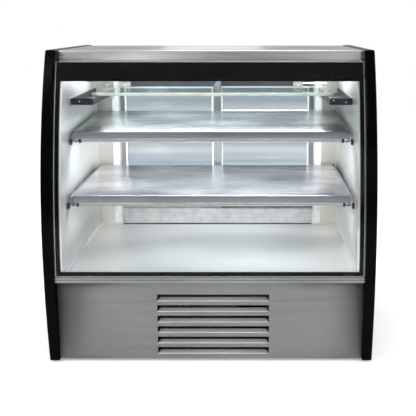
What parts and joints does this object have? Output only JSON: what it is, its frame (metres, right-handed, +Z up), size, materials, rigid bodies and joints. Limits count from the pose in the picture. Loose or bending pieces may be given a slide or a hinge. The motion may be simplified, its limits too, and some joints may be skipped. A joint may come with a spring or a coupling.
{
  "type": "glass display showcase",
  "caption": "Free-standing refrigerated shop display showcase with curved lift-up front glass, lit shelves, polished deck, sliding rear doors and a louvred machine base.",
  "frame": {"origin": "centre of the footprint, on the floor", "axes": "+X towards the right seen from the front, -Y towards the customer, +Z up"},
  "size_m": [1.2, 0.8, 1.15],
  "materials": {
    "frame_black": "gloss",
    "border_black": "gloss",
    "steel_brushed": "brushed",
    "steel_polished": "polished",
    "grey_paint": "satin",
    "dark_grey": "satin",
    "white_paint": "satin",
    "clear_glass": "polished",
    "light_diffuser": "frosted",
    "aluminium": "satin",
    "copper": "drawn",
    "black_plastic": "moulded",
    "pump_black": "satin"
  },
  "bodies": {
    "cabinet": {"left_end_frame": "frame_black", "right_end_frame": "frame_black", "top_panel": "steel_brushed", "rear_header": "steel_brushed", "left_rear_pilaster": "steel_brushed", "right_rear_pilaster": "steel_brushed", "upper_shelf": "steel_brushed", "lower_shelf": "steel_brushed", "left_side_liner": "steel_polished", "right_side_liner": "steel_polished", "deck_pan": "steel_polished", "front_base_panel": "grey_paint", "rear_service_panel": "grey_paint", "upper_left_bracket": "grey_paint", "upper_right_bracket": "grey_paint", "lower_left_bracket": "grey_paint", "lower_right_bracket": "grey_paint", "cold_well": "dark_grey", "base_tray": "dark_grey", "left_top_bracket": "dark_grey", "right_top_bracket": "dark_grey", "condenser_fan_shroud": "dark_grey", "canopy_ceiling": "white_paint", "left_shelf_standard": "white_paint", "right_shelf_standard": "white_paint", "top_glass_shelf": "clear_glass", "upper_light_bar": "light_diffuser", "lower_light_bar": "light_diffuser", "canopy_light": "light_diffuser", "front_sill": "aluminium", "glass_hinge_rod": "aluminium", "door_track_bottom": "aluminium", "door_track_top": "aluminium", "evaporator_coil": "aluminium", "condenser_coil": "aluminium", "suction_pipe": "copper", "front_left_glide": "black_plastic", "front_right_glide": "black_plastic", "rear_left_glide": "black_plastic", "rear_right_glide": "black_plastic", "evaporator_fan_motor": "black_plastic", "drain_tray": "black_plastic", "thermostat": "black_plastic", "power_inlet": "black_plastic", "compressor": "pump_black", "condenser_fan_motor": "pump_black"},
    "front_glass_lid": {"front_glass": "clear_glass", "glass_border": "border_black", "glass_top_rail": "black_plastic"},
    "left_door": {"left_door_frame": "dark_grey", "left_door_glass": "clear_glass", "left_door_pull": "black_plastic"},
    "right_door": {"right_door_frame": "dark_grey", "right_door_glass": "clear_glass", "right_door_pull": "black_plastic"},
    "condenser_fan_rotor": {"condenser_fan": "aluminium"},
    "evaporator_fan_rotor": {"evaporator_fan": "black_plastic"},
    "power_rocker": {"power_switch": "black_plastic"},
    "light_rocker": {"light_switch": "black_plastic"},
    "set_button": {"thermostat_button": "dark_grey"}
  },
  "joints": [
    {"name": "front_glass_lift", "type": "hinge", "parent": "cabinet", "child": "front_glass_lid", "pos_m": [0, -0.206, 1.1], "axis": [-1, 0, 0], "range_deg": [0, 70]},
    {"name": "left_door_slide", "type": "slide", "parent": "cabinet", "child": "left_door", "axis": [1, 0, 0], "range_m": [0, 0.395]},
    {"name": "right_door_slide", "type": "slide", "parent": "cabinet", "child": "right_door", "axis": [1, 0, 0], "range_m": [-0.395, 0]},
    {"name": "condenser_fan_spin", "type": "hinge", "parent": "cabinet", "child": "condenser_fan_rotor", "pos_m": [-0.225, -0.222, 0.119], "axis": [0, 1, 0], "continuous": true},
    {"name": "evaporator_fan_spin", "type": "hinge", "parent": "cabinet", "child": "evaporator_fan_rotor", "pos_m": [-0.168, 0.03, 0.288], "axis": [1, 0, 0], "continuous": true},
    {"name": "power_switch_rock", "type": "hinge", "parent": "cabinet", "child": "power_rocker", "pos_m": [0.443, 0.388, 1.098], "axis": [1, 0, 0], "range_deg": [-12, 0]},
    {"name": "light_switch_rock", "type": "hinge", "parent": "cabinet", "child": "light_rocker", "pos_m": [0.489, 0.388, 1.098], "axis": [1, 0, 0], "range_deg": [-12, 0]},
    {"name": "set_button_press", "type": "slide", "parent": "cabinet", "child": "set_button", "axis": [0, -1, 0], "range_m": [0, 0.0015], "stiffness_N_per_m": 250}
  ]
}
